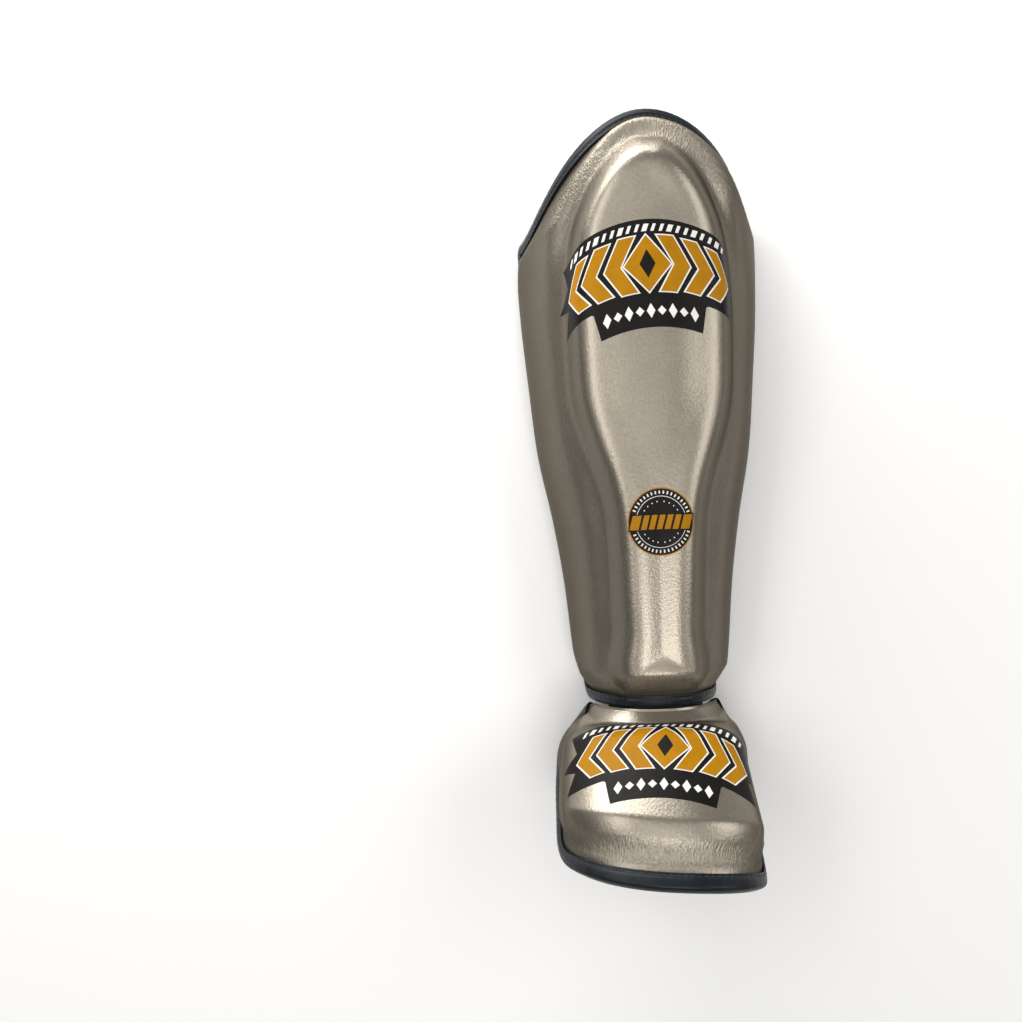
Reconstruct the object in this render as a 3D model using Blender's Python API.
"""Moulded shin guard with an instep pad, lying calf side down on the edges of its wings.

Metres, +Z up. +X runs across the shin and +Y from the ankle to the knee. The origin is on the floor,
under the middle of the upper calf strap.

Each panel is drawn flat, as its cutting pattern is: across is the distance from the crest line and along
is the distance from the ankle, both measured on the hollow's face. A surface function folds the pattern
into the hollow's face, and a height along that face's normal gives the padding, lining and edge tape.
"""

import math

import bpy
import numpy as np

# Shin panel
SHIN_LENGTH = 0.385  # ankle edge to the top of the knee arch
ARCH_RISE = (0.052, 0.066)  # knee arch above the right and the left shoulder
ARCH_POWER = 1.95  # the higher, the broader the top of the arch
ANKLE_BOW = 0.003  # the ankle edge's middle reaches this far past its ends
ANKLE_CORNER = 0.015
SHOULDER_CORNER = 0.010
CALF_HALF_WIDTH = 0.0708  # of the hollow
CALF_HEIGHT = 0.082  # of the hollow, from the floor
SECTION_POWER = 2.35  # over 2 squares the hollow's section
SECTION_RATIO = 1.25  # height over half width where the girth is measured
FLARE_POWER = 3  # the higher, the nearer the wing's edge it turns out
WING_TRIM = 0.06  # share of the flare by which the wing is cut shorter, to clear the floor

# Padding of the shin panel
SEAM_THICKNESS = 0.0028  # where the cover and the padding are sewn down flat
SHIN_PADDING = 0.0110
SHIN_ROLL = 0.010  # how far in from the seam the padding reaches its full thickness
ROLL_POWER = 2.5  # over 1 makes the roll steeper at the seam
RIDGE_RISE = 0.0070  # moulded shin plate above the padding round it
RIDGE_HALF_WIDTH = 0.036
RIDGE_BEVEL = 0.011
RIDGE_DISH = 0.0012  # the plate is lower along its middle than at its edges
GROOVE_DEPTH = 0.0015  # round the plate
KNEE_GROOVE_DEPTH = 0.0022  # added to it at the knee end
GROOVE_OFFSET = 0.015
GROOVE_WIDTH = 0.007

# Instep pad
INSTEP_LENGTH = 0.128  # ankle edge to the toe edge, along the crest
INSTEP_PITCH = math.radians(42)  # how steeply it stands up from the shin's line
INSTEP_TURN = -0.0077  # sideways shift of the crest line at the toe edge, to the left
ANKLE_BEND = 0.024  # radius of the bend at the ankle
INSTEP_HALF_WIDTH = 0.0605  # of the hollow
INSTEP_HEIGHT = 0.050  # of the hollow's section
NECK_GIRTH = 0.060  # crest to the pad's edge, where it meets the shin panel
WING_GIRTH = 0.080  # crest to the pad's edge along its sides
WING_START = 0.022  # from the ankle
NECK_CORNER = 0.014
NECK_SEAM = 0.004  # flat edge of the cover at the ankle, where it has no tape
NECK_SLACK = 0.0018  # between the pad's cover and the shin panel's tape, where the ankle bends
WING_CORNER = 0.012
TOE_CORNER = 0.019
TOE_BOW = 0.010  # the toe edge's middle reaches this far past its corners
TOE_SLANT = 0.12  # the right side is longer than the left one
TOE_TUCK = 0.004  # the left toe corner is cut back this much more
RIGHT_EASE = 0.13  # share by which the right side is narrower at the ankle
INSTEP_PADDING = 0.0085
INSTEP_ROLL = 0.011
DOME_RISE = 0.0125
DOME_SLOPE = 0.024

# Lining, edge tape and hinge
GAP = 0.0003  # between pieces that touch
FOLD_SLACK = 0.0008  # between a panel's edge and the fold of its tape
LINING = 0.0015
TAPE = 0.0014
SHIN_TAPE_WIDTH = 0.0078
INSTEP_TAPE_WIDTH = 0.0100
TAPE_ROUND = 0.0020
HINGE_THICKNESS = 0.0016
HINGE_HALF_WIDTH = 0.046
HINGE_REACH = 0.022  # past the tape, onto each panel
HINGE_STEP = 0.004  # in which it rises over the tape's edge
HINGE_EASE = 0.0013  # slack under the linings

# Straps
STRAP_THICKNESS = 0.0022
STRAP_CLIMB = 0.026  # sewn length, up the inside of the wing
STRAP_BEND = 0.004
UPPER_STRAP_AT = 0.238  # middle of the strap, from the ankle
UPPER_STRAP_WIDTH = 0.060
LOWER_STRAP_AT = 0.092
LOWER_STRAP_WIDTH = 0.045
STRAP_OVERLAP = 0.055  # of the hook tab over the elastic band
FOOT_STRAP_AT = 0.072
FOOT_STRAP_WIDTH = 0.036
FOOT_STRAP_CLIMB = 0.020

# Mesh density: cells across and along each panel's hollow face
SHIN_CELLS = (16, 22)
INSTEP_CELLS = (12, 10)

# Hollow of the shin panel. Columns: along, of SHIN_LENGTH; half_width, of CALF_HALF_WIDTH;
# height, of CALF_HEIGHT; flare, the share of CALF_HALF_WIDTH by which the wing's edge turns out.
SHIN_SECTIONS = np.array([
    (0.00, 0.560, 0.68, 0.00),
    (0.10, 0.620, 0.74, 0.00),
    (0.22, 0.680, 0.82, 0.00),
    (0.33, 0.768, 0.89, 0.00),
    (0.44, 0.883, 0.94, 0.00),
    (0.56, 0.948, 0.98, 0.00),
    (0.70, 1.000, 1.00, 0.02),
    (0.82, 0.965, 1.03, 0.14),
    (0.92, 0.925, 1.07, 0.18),
    (1.00, 0.870, 1.01, 0.19),
])

# Outline of the moulded plate. Columns: along, of SHIN_LENGTH; half_width, of RIDGE_HALF_WIDTH.
RIDGE_SECTIONS = np.array([
    (0.060, 0.41),
    (0.080, 0.42),
    (0.125, 0.36),
    (0.190, 0.38),
    (0.267, 0.41),
    (0.345, 0.47),
    (0.400, 0.59),
    (0.455, 0.775),
    (0.520, 0.955),
    (0.600, 1.00),
    (0.680, 0.995),
    (0.745, 0.95),
    (0.805, 0.885),
    (0.843, 0.79),
    (0.871, 0.675),
    (0.895, 0.525),
    (0.912, 0.35),
    (0.921, 0.15),
])

# Hollow of the instep pad. Columns: along, of INSTEP_LENGTH from the ankle; half_width, of
# INSTEP_HALF_WIDTH; height, of INSTEP_HEIGHT; lean, the share of INSTEP_PITCH by which the section leans;
# flare, the share of INSTEP_HALF_WIDTH by which the wing's edge turns out.
INSTEP_SECTIONS = np.array([
    (0.00, 0.680, 1.00, 0.00, 0.00),
    (0.06, 0.745, 0.99, 0.04, 0.01),
    (0.12, 0.810, 0.98, 0.10, 0.06),
    (0.20, 0.880, 0.965, 0.18, 0.11),
    (0.35, 0.915, 0.95, 0.28, 0.12),
    (0.60, 0.940, 0.93, 0.34, 0.09),
    (1.00, 0.965, 0.92, 0.34, 0.06),
])

# Colour, metallic value and roughness of each material.
FINISHES = {
    "silver_leather": ((0.50, 0.47, 0.42), 0.85, 0.36),
    "black_tape": ((0.018, 0.019, 0.021), 0.0, 0.45),
    "black_lining": ((0.022, 0.022, 0.024), 0.0, 0.85),
    "black_elastic": ((0.030, 0.030, 0.032), 0.0, 0.80),
}

NORMAL_STEP = 0.0010
OUTLINE_STEP = 0.0020


def eased(rows, column, at):
    """Smooth curve through one column of a table, read at shares of its first column."""
    knots, values = rows[:, 0], rows[:, column]
    slopes = np.gradient(values, knots)
    held = np.clip(at, knots[0], knots[-1])
    row = np.clip(np.searchsorted(knots, held, "right") - 1, 0, len(knots) - 2)
    step = knots[row + 1] - knots[row]
    t = (held - knots[row]) / step
    curve = (
        values[row] * (1 + 2 * t) * (1 - t) ** 2
        + slopes[row] * step * t * (1 - t) ** 2
        + values[row + 1] * t * t * (3 - 2 * t)
        + slopes[row + 1] * step * t * t * (t - 1)
    )
    end_slope = np.where(at < knots[0], slopes[0], slopes[-1])
    return curve + (at - held) * end_slope


def smooth_step(x):
    x = np.clip(x, 0, 1)
    return x * x * (3 - 2 * x)


def rounded_rise(x):
    """Roll of padding: steep at 0, level at 1."""
    return 1 - (1 - np.clip(x, 0, 1)) ** ROLL_POWER


def measure_section(samples=240):
    """Share of the half girth against the section's angle, and the half girth of a section whose half
    width and height add up to 2."""
    angle = np.linspace(0, math.pi / 2, samples)
    x = np.sin(angle) ** (2 / SECTION_POWER)
    z = SECTION_RATIO * np.cos(angle) ** (2 / SECTION_POWER)
    length = np.concatenate([[0], np.cumsum(np.hypot(np.diff(x), np.diff(z)))])
    return length / length[-1], angle, 2 * length[-1] / (1 + SECTION_RATIO)


GIRTH_SHARE, GIRTH_ANGLE, GIRTH_FACTOR = measure_section()


def half_girth(half_width, height):
    return GIRTH_FACTOR * (half_width + height) / 2


def section(across, half_width, height):
    """x and the distance below the crest of a point of the hollow's section. Past the wing's end the
    section runs on straight."""
    girth = half_girth(half_width, height)
    share = np.abs(across) / girth
    angle = np.interp(np.minimum(share, 1), GIRTH_SHARE, GIRTH_ANGLE)
    x = np.sign(across) * half_width * np.sin(angle) ** (2 / SECTION_POWER)
    rise = height * np.cos(angle) ** (2 / SECTION_POWER)
    return x, height - rise + np.maximum(share - 1, 0) * girth


def shin_size(along):
    share = np.asarray(along) / SHIN_LENGTH
    return (
        CALF_HALF_WIDTH * eased(SHIN_SECTIONS, 1, share),
        CALF_HEIGHT * eased(SHIN_SECTIONS, 2, share),
    )


def shin_flare(along):
    return CALF_HALF_WIDTH * eased(SHIN_SECTIONS, 3, np.asarray(along) / SHIN_LENGTH)


def shin_face(across, along):
    """Point of the shin hollow's face."""
    half_width, height = shin_size(along)
    x, below = section(across, half_width, height)
    x = x + np.sign(across) * shin_flare(along) * np.clip(below / height, 0, 1) ** FLARE_POWER
    return np.stack([x, along - UPPER_STRAP_AT, height - below], axis=-1)


def instep_size(from_ankle):
    share = np.asarray(from_ankle) / INSTEP_LENGTH
    return (
        INSTEP_HALF_WIDTH * eased(INSTEP_SECTIONS, 1, share),
        INSTEP_HEIGHT * eased(INSTEP_SECTIONS, 2, share),
    )


def instep_face(across, along):
    """Point of the instep hollow's face. along is 0 at the ankle and negative towards the toe."""
    from_ankle = -np.asarray(along)
    half_width, height = instep_size(from_ankle)
    x, below = section(across, half_width, height)
    bend = np.clip(from_ankle / ANKLE_BEND, 0, INSTEP_PITCH)
    straight = from_ankle - bend * ANKLE_BEND
    forward = ANKLE_BEND * np.sin(bend) + straight * np.cos(bend)
    up = ANKLE_BEND * (1 - np.cos(bend)) + straight * np.sin(bend)
    lean = INSTEP_PITCH * eased(INSTEP_SECTIONS, 3, from_ankle / INSTEP_LENGTH)
    flare = INSTEP_HALF_WIDTH * eased(INSTEP_SECTIONS, 4, from_ankle / INSTEP_LENGTH)
    x = x + np.sign(across) * flare * np.clip(below / height, 0, 1) ** FLARE_POWER
    ankle_height = shin_size(0.0)[1]
    x = x + INSTEP_TURN * (1 - (1 - np.clip(from_ankle / INSTEP_LENGTH, 0, 1)) ** 2)
    y = -forward - below * np.sin(lean)
    z = ankle_height + up - below * np.cos(lean)
    return np.stack([x, y - UPPER_STRAP_AT, z], axis=-1)


def raised(face, flat, height):
    """Points at a height above the hollow's face, for flat points (across, along)."""
    across, along = flat[..., 0], flat[..., 1]
    side = face(across + NORMAL_STEP, along) - face(across - NORMAL_STEP, along)
    ahead = face(across, along + NORMAL_STEP) - face(across, along - NORMAL_STEP)
    normal = np.cross(side, ahead)
    normal /= np.linalg.norm(normal, axis=-1, keepdims=True)
    return face(across, along) + normal * np.asarray(height)[..., None]


def corner(start, control, end):
    """Rounded corner from start to end, as a quadratic curve, with its middle at an even index."""
    t = np.linspace(0, 1, 13)[:, None]
    return (1 - t) ** 2 * start + 2 * t * (1 - t) * control + t * t * end


def run(point, first, last, length):
    """Points of a curve from one value of its parameter to another, about OUTLINE_STEP apart."""
    count = max(3, int(round(abs(length) / OUTLINE_STEP)))
    return np.array([point(value) for value in np.linspace(first, last, count)])


def ankle_edge(across):
    """How far along the shin panel's ankle edge lies, at a distance from its middle."""
    return ANKLE_BOW * (across / half_girth(*shin_size(0.0))) ** 2


def shin_outline(arch_rise):
    """Right half of the shin panel's edge, from the ankle's middle to the arch's top, and the indices of
    its two corners. The left half is drawn the same way and mirrored."""

    def girth(along):
        return half_girth(*shin_size(along)) - WING_TRIM * shin_flare(along)

    shoulder = SHIN_LENGTH - arch_rise

    def hem(share):
        return np.array([share * girth(0.0), ankle_edge(share * girth(0.0))])

    def side(along):
        return np.array([girth(along), along])

    side_start = ANKLE_BOW + ANKLE_CORNER

    def arch(share):
        along = shoulder + arch_rise * (1 - math.sin(share * math.pi / 2) ** ARCH_POWER)
        return np.array([share * girth(along), along])

    hem_end = 1 - ANKLE_CORNER / girth(0.0)
    arch_end = 1 - SHOULDER_CORNER / girth(shoulder)
    pieces = [
        run(hem, 0, hem_end, girth(0.0)),
        corner(hem(hem_end), hem(1), side(side_start)),
        run(side, side_start, shoulder - SHOULDER_CORNER, shoulder),
        corner(side(shoulder - SHOULDER_CORNER), side(shoulder), arch(arch_end)),
        run(arch, arch_end, 0, girth(shoulder)),
    ]
    return join_outline(pieces, (1, 3))


def instep_outline():
    """Right half of the instep pad's edge, from the toe's middle to the neck's middle. The neck's edge
    stops short of the shin panel's tape once the padding is set in from it."""
    toe_side = -INSTEP_LENGTH + TOE_BOW

    def toe(share):
        return np.array([share * WING_GIRTH, toe_side - TOE_BOW * (1 - share**2)])

    def neck_edge(share):
        across = share * NECK_GIRTH
        return np.array([across, ankle_edge(across) + TAPE + FOLD_SLACK - NECK_SLACK])

    wing = np.array([WING_GIRTH, -WING_START])
    neck = neck_edge(1)
    slope = (wing - neck) / np.linalg.norm(wing - neck)
    toe_end = 1 - TOE_CORNER / WING_GIRTH
    neck_end = 1 - NECK_CORNER / NECK_GIRTH
    side_start = np.array([WING_GIRTH, toe_side + TOE_CORNER])
    side_end = wing - np.array([0, WING_CORNER])
    pieces = [
        run(toe, 0, toe_end, WING_GIRTH),
        corner(toe(toe_end), np.array([WING_GIRTH, toe_side]), side_start),
        run(lambda t: side_start + t * (side_end - side_start), 0, 1, INSTEP_LENGTH),
        corner(side_end, wing, wing - slope * WING_CORNER),
        corner(neck + slope * NECK_CORNER, neck, neck_edge(neck_end)),
        run(neck_edge, neck_end, 0, NECK_GIRTH),
    ]
    return join_outline(pieces, (1, 4))


def join_outline(pieces, corner_pieces):
    """One run of points from several that meet, and the index of the middle of each corner."""
    points, corners = [pieces[0]], []
    count = len(pieces[0])
    for number, piece in enumerate(pieces[1:], 1):
        fresh = piece if np.linalg.norm(piece[0] - points[-1][-1]) > OUTLINE_STEP / 4 else piece[1:]
        if number in corner_pieces:
            corners.append(count + len(fresh) // 2)
        points.append(fresh)
        count += len(fresh)
    return np.concatenate(points), corners


def closed_outline(right, left):
    """The whole edge anticlockwise, from the lower left corner, and the index of each corner on it. Both
    halves are drawn as right ones."""
    right_half, right_corners = right
    left_half, left_corners = left
    # mirrored runs from the top's middle down the left side to the bottom's middle
    mirrored = (left_half * (-1, 1))[::-1]
    last = len(mirrored) - 1
    loop = np.concatenate([mirrored[:-1], right_half[:-1]])
    lower_left, lower_right = last - left_corners[0], last + right_corners[0]
    upper_right, upper_left = last + right_corners[1], last - left_corners[1]
    loop = np.roll(loop, -lower_left, axis=0)
    places = [(index - lower_left) % len(loop) for index in (lower_left, lower_right, upper_right, upper_left)]
    return loop, places


def stations(loop, corners, cells):
    """Points spaced along each of the outline's four sides, and their inward normals."""
    size = len(loop)
    ahead = np.roll(loop, -1, axis=0) - np.roll(loop, 1, axis=0)
    ahead /= np.linalg.norm(ahead, axis=1, keepdims=True)
    inward = np.stack([-ahead[:, 1], ahead[:, 0]], axis=1)
    points, normals = [], []
    ends = [*corners[1:], corners[0] + size]
    for first, last, count in zip(corners, ends, (cells[0], cells[1]) * 2):
        index = np.arange(first, last + 1) % size
        side = loop[index]
        length = np.concatenate([[0], np.cumsum(np.linalg.norm(np.diff(side, axis=0), axis=1))])
        at = np.linspace(0, length[-1], count + 1)[:-1]
        points.append(np.stack([np.interp(at, length, side[:, k]) for k in (0, 1)], axis=1))
        normals.append(np.stack([np.interp(at, length, inward[index, k]) for k in (0, 1)], axis=1))
    normals = np.concatenate(normals)
    normals /= np.linalg.norm(normals, axis=1, keepdims=True)
    return np.concatenate(points), normals


def distance(points, line, closed=True):
    """Distance from each point to an outline, or to a line with two ends."""
    start, ahead = line, np.roll(line, -1, axis=0) - line
    if not closed:
        start, ahead = start[:-1], ahead[:-1]
    offset = points[:, None] - start[None]
    t = np.clip((offset * ahead).sum(-1) / (ahead**2).sum(-1), 0, 1)
    return np.linalg.norm(offset - t[..., None] * ahead, axis=-1).min(axis=1)


def inside(points, loop):
    """Whether each point lies within a closed outline."""
    x, y = points[:, :1], points[:, 1:]
    x0, y0 = loop[:, 0], loop[:, 1]
    x1, y1 = np.roll(x0, -1), np.roll(y0, -1)
    rise = np.where(y1 == y0, 1.0, y1 - y0)
    crosses = ((y0 > y) != (y1 > y)) & (x < x0 + (y - y0) * (x1 - x0) / rise)
    return crosses.sum(axis=1) % 2 == 1


def signed_distance(points, loop):
    """Positive within the outline and negative outside it."""
    return np.where(inside(points, loop), 1, -1) * distance(points, loop)


def ridge_outline():
    along = np.linspace(RIDGE_SECTIONS[0, 0], RIDGE_SECTIONS[-1, 0], 70)
    half = np.stack([RIDGE_HALF_WIDTH * eased(RIDGE_SECTIONS, 1, along), along * SHIN_LENGTH], axis=1)
    return np.concatenate([half, (half * (-1, 1))[::-1]])


def shin_padding(flat, outline):
    """Height of the cover above the hollow's face: a flat seam, a rounded roll, a groove, and the plate
    that follows the shin bone."""
    plate = signed_distance(flat, ridge_outline())
    seam = distance(flat, outline[0]) - SHIN_TAPE_WIDTH - GAP
    full = SEAM_THICKNESS + (SHIN_PADDING - SEAM_THICKNESS) * rounded_rise(seam / SHIN_ROLL)
    knee = smooth_step((flat[:, 1] / SHIN_LENGTH - 0.72) / 0.14)
    groove = GROOVE_DEPTH + KNEE_GROOVE_DEPTH * knee
    groove *= np.exp(-(((plate + GROOVE_OFFSET) / GROOVE_WIDTH) ** 2)) * smooth_step(seam / SHIN_ROLL)
    dish = RIDGE_DISH * smooth_step(plate / RIDGE_HALF_WIDTH * 2)
    return full + RIDGE_RISE * smooth_step(1 + plate / RIDGE_BEVEL) - groove - dish


def instep_padding(flat, outline):
    """Height of the cover above the hollow's face: a flat seam, a rounded roll and a soft dome."""
    loop, corners = outline
    neck = loop[corners[2] : corners[3] + 1]
    taped = np.concatenate([loop[corners[3] :], loop[: corners[2] + 1]])
    seam = np.minimum(
        distance(flat, taped, closed=False) - INSTEP_TAPE_WIDTH - GAP,
        distance(flat, neck, closed=False) - NECK_SEAM,
    )
    full = SEAM_THICKNESS + (INSTEP_PADDING - SEAM_THICKNESS) * rounded_rise(seam / INSTEP_ROLL)
    return full + DOME_RISE * smooth_step((seam - INSTEP_ROLL / 2) / DOME_SLOPE)


def loop_cell(number, cells):
    """Column and row on the grid's border of a station, counted from the lower left corner."""
    wide, tall = cells
    if number <= wide:
        return number, 0
    if number <= wide + tall:
        return wide, number - wide
    if number <= 2 * wide + tall:
        return 2 * wide + tall - number, tall
    return 0, 2 * (wide + tall) - number


def filled_grid(border, cells):
    """Grid of flat points whose border is given, filled in between opposite sides."""
    wide, tall = cells
    grid = np.zeros((tall + 1, wide + 1, 2))
    for number, point in enumerate(border):
        column, row = loop_cell(number, cells)
        grid[row, column] = point
    u = np.linspace(0, 1, wide + 1)[None, :, None]
    v = np.linspace(0, 1, tall + 1)[:, None, None]
    corners = (
        (1 - u) * (1 - v) * grid[0, 0]
        + u * (1 - v) * grid[0, -1]
        + (1 - u) * v * grid[-1, 0]
        + u * v * grid[-1, -1]
    )
    between = (1 - v) * grid[:1] + v * grid[-1:] + (1 - u) * grid[:, :1] + u * grid[:, -1:]
    inner = between - corners
    grid[1:-1, 1:-1] = inner[1:-1, 1:-1]
    return grid


def halved(quads):
    """Two triangles from each quad, cut from its first corner, so that faces laid over each other match."""
    return [half for a, b, c, d in quads for half in ((a, b, c), (a, c, d))]


def flat_sheet(outline, cells, insets, fine):
    """Flat points and faces of one side of a panel. The edge has one ring of points at each inset. Where
    fine is true, the cells inside them are halved."""
    loop, corners = outline
    points, inward = stations(loop, corners, cells)
    rings = [points + inset * inward for inset in insets]
    count = len(points)
    vertices = np.concatenate(rings)
    around = [(i, (i + 1) % count) for i in range(count)]
    faces = halved([(i, j, j + count, i + count) for i, j in around])
    border, border_ids = rings[-1], [i + count for i in range(count)]
    if fine:
        cells = (cells[0] * 2, cells[1] * 2)
        fine_points, fine_inward = stations(loop, corners, cells)
        border = fine_points + (insets[-1] + SHIN_ROLL / 3) * fine_inward
        first = len(vertices)
        vertices = np.concatenate([vertices, border])
        border_ids = list(range(first, first + 2 * count))
        for i, j in around:
            low, middle, high = first + 2 * i, first + 2 * i + 1, first + (2 * i + 2) % (2 * count)
            faces += [(i + count, middle, low), (i + count, j + count, middle), (j + count, high, middle)]
    grid = filled_grid(border, cells)
    ids = np.zeros(grid.shape[:2], int)
    inner = grid[1:-1, 1:-1]
    ids[1:-1, 1:-1] = len(vertices) + np.arange(inner[..., 0].size).reshape(inner.shape[:2])
    for number, vertex in enumerate(border_ids):
        column, row = loop_cell(number, cells)
        ids[row, column] = vertex
    vertices = np.concatenate([vertices, inner.reshape(-1, 2)])
    faces += halved([
        (ids[r, c], ids[r, c + 1], ids[r + 1, c + 1], ids[r + 1, c])
        for r in range(cells[1])
        for c in range(cells[0])
    ])
    return vertices, faces, count


def material(name):
    made = bpy.data.materials.get(name)
    if made:
        return made
    colour, metallic, roughness = FINISHES[name]
    made = bpy.data.materials.new(name)
    made.use_nodes = True
    shader = made.node_tree.nodes["Principled BSDF"]
    shader.inputs["Base Color"].default_value = (*colour, 1)
    shader.inputs["Metallic"].default_value = metallic
    shader.inputs["Roughness"].default_value = roughness
    return made


def add_object(name, vertices, faces, finish):
    mesh = bpy.data.meshes.new(name)
    mesh.from_pydata([tuple(v) for v in vertices], [], [tuple(int(i) for i in f) for f in faces])
    mesh.validate()
    mesh.shade_smooth()
    mesh.set_sharp_from_angle(angle=math.radians(40))
    mesh.materials.append(material(finish))
    made = bpy.data.objects.new(name, mesh)
    bpy.context.scene.collection.objects.link(made)
    return made


def add_panel_layer(name, face, outline, cells, upper, lower, finish, fine=False, insets=(0, 0)):
    """Closed layer between two heights above the hollow's face. upper is a number, or a function of the
    flat points and the outline."""
    flat_up, faces_up, count = flat_sheet(outline, cells, insets, fine)
    flat_down, faces_down, _ = flat_sheet(outline, cells, insets, False)
    up_height = upper(flat_up, outline) if callable(upper) else np.full(len(flat_up), upper)
    top = raised(face, flat_up, up_height)
    bottom = raised(face, flat_down, np.full(len(flat_down), lower))
    first = len(top)
    faces = faces_up + [tuple(first + i for i in reversed(f)) for f in faces_down]
    faces += halved([(first + i, first + (i + 1) % count, (i + 1) % count, i) for i in range(count)])
    return add_object(name, np.concatenate([top, bottom]), faces, finish)


def tape_section(width):
    """Edge tape's folded section, as (inset, height) pairs: round the outside, then back along the inside."""
    under = -(GAP + LINING + GAP)
    over = SEAM_THICKNESS + GAP
    return [
        (width, over + TAPE),
        (TAPE_ROUND, over + TAPE),
        (0, over + TAPE - TAPE_ROUND),
        (0, under - TAPE + TAPE_ROUND),
        (TAPE_ROUND, under - TAPE),
        (width, under - TAPE),
        (width, under),
        (TAPE, under),
        (TAPE, over),
        (width, over),
    ]


def add_tape(name, face, outline, cells, width, open_side=None):
    """Edge tape round a panel. open_side is the side of the outline, 0 to 3, that has no tape."""
    points, inward = stations(*outline, cells)
    profile = tape_section(width)
    if open_side is not None:
        ends = np.cumsum([0, cells[0], cells[1], cells[0], cells[1]])
        keep = np.arange(ends[open_side + 1], ends[open_side] + len(points) + 1) % len(points)
        points, inward = points[keep], inward[keep]
    flat = np.array([points + inset * inward for inset, _ in profile])
    heights = np.array([[height] * len(points) for _, height in profile])
    rows = raised(face, flat, heights).transpose(1, 0, 2)
    count, size = rows.shape[:2]
    closed = open_side is None
    faces = []
    for i in range(count if closed else count - 1):
        j = (i + 1) % count
        for k in range(size):
            after = (k + 1) % size
            quad = (i * size + k, i * size + after, j * size + after, j * size + k)
            # cut from the outer point, as the panels' border faces are
            inner_first = profile[after][0] < profile[k][0]
            faces += halved([quad[1:] + quad[:1] if inner_first else quad])
    if not closed:
        for start, turn in ((0, 1), ((count - 1) * size, -1)):
            # the folded section is capped as two flanges and the web that joins them
            blocks = ((0, 1, 8, 9), (1, 2, 3, 4, 7, 8), (4, 5, 6, 7))
            faces += [tuple(start + k for k in block[:: -turn]) for block in blocks]
    return add_object(name, rows.reshape(-1, 3), faces, "black_tape")


def add_slab(name, middle, thickness, finish):
    """Closed sheet of one thickness about a grid of points."""
    down = np.gradient(middle, axis=0)
    right = np.gradient(middle, axis=1)
    normal = np.cross(right, down)
    normal /= np.linalg.norm(normal, axis=-1, keepdims=True)
    rows, columns = middle.shape[:2]
    both = [middle + side * normal * thickness / 2 for side in (1, -1)]
    vertices = np.concatenate([layer.reshape(-1, 3) for layer in both])
    ids = np.arange(rows * columns).reshape(rows, columns)
    below = ids + rows * columns
    faces = []
    for r in range(rows - 1):
        for c in range(columns - 1):
            faces.append((ids[r, c], ids[r, c + 1], ids[r + 1, c + 1], ids[r + 1, c]))
            faces.append((below[r, c], below[r + 1, c], below[r + 1, c + 1], below[r, c + 1]))
    border = (
        [(0, c) for c in range(columns - 1)]
        + [(r, columns - 1) for r in range(rows - 1)]
        + [(rows - 1, c) for c in range(columns - 1, 0, -1)]
        + [(r, 0) for r in range(rows - 1, 0, -1)]
    )
    for a, b in zip(border, border[1:] + border[:1]):
        faces.append((ids[b], ids[a], below[a], below[b]))
    return add_object(name, vertices, faces, finish)


def wing_climb(face, girth, along, clearance, climb):
    """Points up the inside of the right wing from its edge, clear of the edge tape."""
    rises = np.array([STRAP_BEND * 1.6, climb * 0.45, climb * 0.75, climb])
    flat = np.stack([girth - rises, np.full(len(rises), along)], axis=1)
    return raised(face, flat, np.full(len(rises), -clearance))


def strap_row(along, side, reach, layer):
    """One row of a calf strap's middle: up one wing, round to the floor and across to reach."""
    half_width, height = shin_size(along)
    tape_face = GAP + LINING + GAP + TAPE
    clearance = tape_face + GAP + STRAP_THICKNESS / 2
    climb = wing_climb(shin_face, half_girth(half_width, height), along, clearance, STRAP_CLIMB)
    wall = half_width - clearance
    level = STRAP_THICKNESS / 2 + layer * (STRAP_THICKNESS + GAP)
    turn = math.radians(45)
    bend = [
        (wall - STRAP_BEND * (1 - math.cos(turn)), level + STRAP_BEND * (1 - math.sin(turn))),
        (wall - STRAP_BEND, level),
    ]
    across = [(x, level) for x in np.linspace(wall - STRAP_BEND, reach, 5)[1:]]
    path = [(p[0], p[2]) for p in climb[::-1]] + bend + across
    return [(side * x, along - UPPER_STRAP_AT, z) for x, z in path]


def add_calf_strap(name, at, width):
    """Elastic band from the left wing, and the hook tab from the right wing that closes over it."""
    rows = np.linspace(at - width / 2, at + width / 2, 4)
    band = np.array([strap_row(along, -1, -STRAP_OVERLAP / 2, 1) for along in rows])
    tab = np.array([strap_row(along, 1, -STRAP_OVERLAP / 2, 0) for along in rows[::-1]])
    add_slab(name + "_band", band, STRAP_THICKNESS, "black_elastic")
    add_slab(name + "_tab", tab, STRAP_THICKNESS, "black_elastic")


def foot_strap_row(from_ankle):
    """One row of the strap under the foot: down one wing's inside, straight across, and up the other."""
    clearance = GAP + LINING + GAP + TAPE + GAP + STRAP_THICKNESS / 2
    climb = wing_climb(instep_face, WING_GIRTH, -from_ankle, clearance, FOOT_STRAP_CLIMB)[::-1]
    low = climb[-1]
    inward = np.array([STRAP_BEND, 0, 0])
    down = (climb[-1] - climb[-2]) / np.linalg.norm(climb[-1] - climb[-2])
    turned = [low + down * STRAP_BEND * 0.7 - inward * 0.3, low + down * STRAP_BEND - inward]
    right = [*climb, *turned, turned[-1] * (0.45, 1, 1)]
    left = [p * (-1, 1, 1) for p in reversed(right)]
    return right + left


def add_foot_strap():
    half = FOOT_STRAP_WIDTH / 2
    rows = [foot_strap_row(s) for s in np.linspace(FOOT_STRAP_AT - half, FOOT_STRAP_AT + half, 4)]
    add_slab("foot_strap", np.array(rows), STRAP_THICKNESS, "black_elastic")


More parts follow.
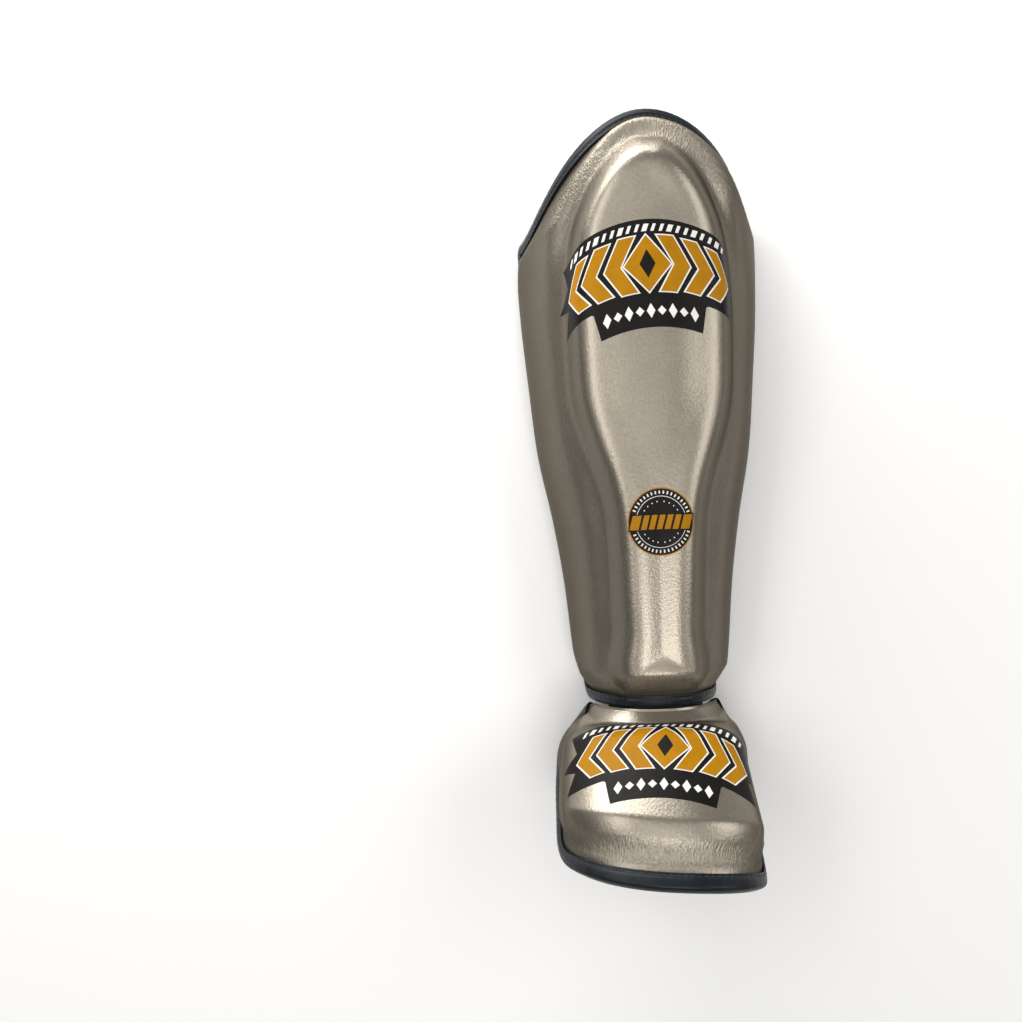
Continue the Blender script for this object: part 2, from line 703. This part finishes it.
def add_ankle_hinge():
    """Leather strip under both linings, across the line where the panels meet."""
    across = np.linspace(-HINGE_HALF_WIDTH, HINGE_HALF_WIDTH, 15)
    edge = ankle_edge(across)
    under_lining = GAP + LINING + HINGE_EASE + HINGE_THICKNESS / 2
    under_tape = under_lining + TAPE + GAP
    tape_end = SHIN_TAPE_WIDTH + GAP
    shin_rows = (
        (tape_end + HINGE_REACH, under_lining),
        (tape_end + HINGE_REACH / 2, under_lining),
        (tape_end + HINGE_STEP, under_lining),
        (tape_end, under_tape),
        (0.0, under_tape),
    )
    instep_rows = (
        (HINGE_STEP, under_tape),
        (2 * HINGE_STEP, under_lining),
        (HINGE_STEP + HINGE_REACH / 2, under_lining),
        (HINGE_STEP + HINGE_REACH, under_lining),
    )
    rows = []
    for face, way, places in ((shin_face, 1, shin_rows), (instep_face, -1, instep_rows)):
        for reach, depth in places:
            flat = np.stack([across, edge + way * reach], axis=1)
            rows.append(raised(face, flat, np.full(len(across), -depth)))
    add_slab("ankle_hinge", np.array(rows), HINGE_THICKNESS, "black_tape")


def build_shin():
    outline = closed_outline(*[shin_outline(rise) for rise in ARCH_RISE])
    edge = (TAPE + FOLD_SLACK, SHIN_TAPE_WIDTH + GAP)
    add_panel_layer("shin_pad", shin_face, outline, SHIN_CELLS, shin_padding, 0.0, "silver_leather", True, edge)
    add_panel_layer(
        "shin_lining", shin_face, outline, SHIN_CELLS, -GAP, -GAP - LINING, "black_lining", False, edge
    )
    add_tape("shin_edge_tape", shin_face, outline, SHIN_CELLS, SHIN_TAPE_WIDTH)


def build_instep():
    half = instep_outline()
    outline = slanted(closed_outline(half, half))
    edge = (TAPE + FOLD_SLACK, INSTEP_TAPE_WIDTH + GAP)
    add_panel_layer(
        "instep_pad", instep_face, outline, INSTEP_CELLS, instep_padding, 0.0, "silver_leather", True, edge
    )
    add_panel_layer(
        "instep_lining", instep_face, outline, INSTEP_CELLS, -GAP, -GAP - LINING, "black_lining", False, edge
    )
    add_tape("instep_edge_tape", instep_face, outline, INSTEP_CELLS, INSTEP_TAPE_WIDTH, open_side=2)


def slanted(outline):
    """The outline with its right side longer than the left one, and narrower at the ankle."""
    loop, corners = outline
    share = smooth_step(-loop[:, 1] / INSTEP_LENGTH)
    loop = loop.copy()
    loop[:, 1] -= TOE_SLANT * loop[:, 0] * share
    left = smooth_step(-loop[:, 0] / WING_GIRTH)
    loop[:, 1] += TOE_TUCK * left * smooth_step(2 * share - 1)
    eased_share = RIGHT_EASE * (1 - share) * smooth_step(-loop[:, 1] / WING_START)
    loop[:, 0] *= np.where(loop[:, 0] > 0, 1 - eased_share, 1)
    return loop, corners


def clear_scene():
    for old in list(bpy.data.objects):
        bpy.data.objects.remove(old)


def main():
    clear_scene()
    build_shin()
    build_instep()
    add_ankle_hinge()
    add_calf_strap("upper_strap", UPPER_STRAP_AT, UPPER_STRAP_WIDTH)
    add_calf_strap("lower_strap", LOWER_STRAP_AT, LOWER_STRAP_WIDTH)
    add_foot_strap()


main()
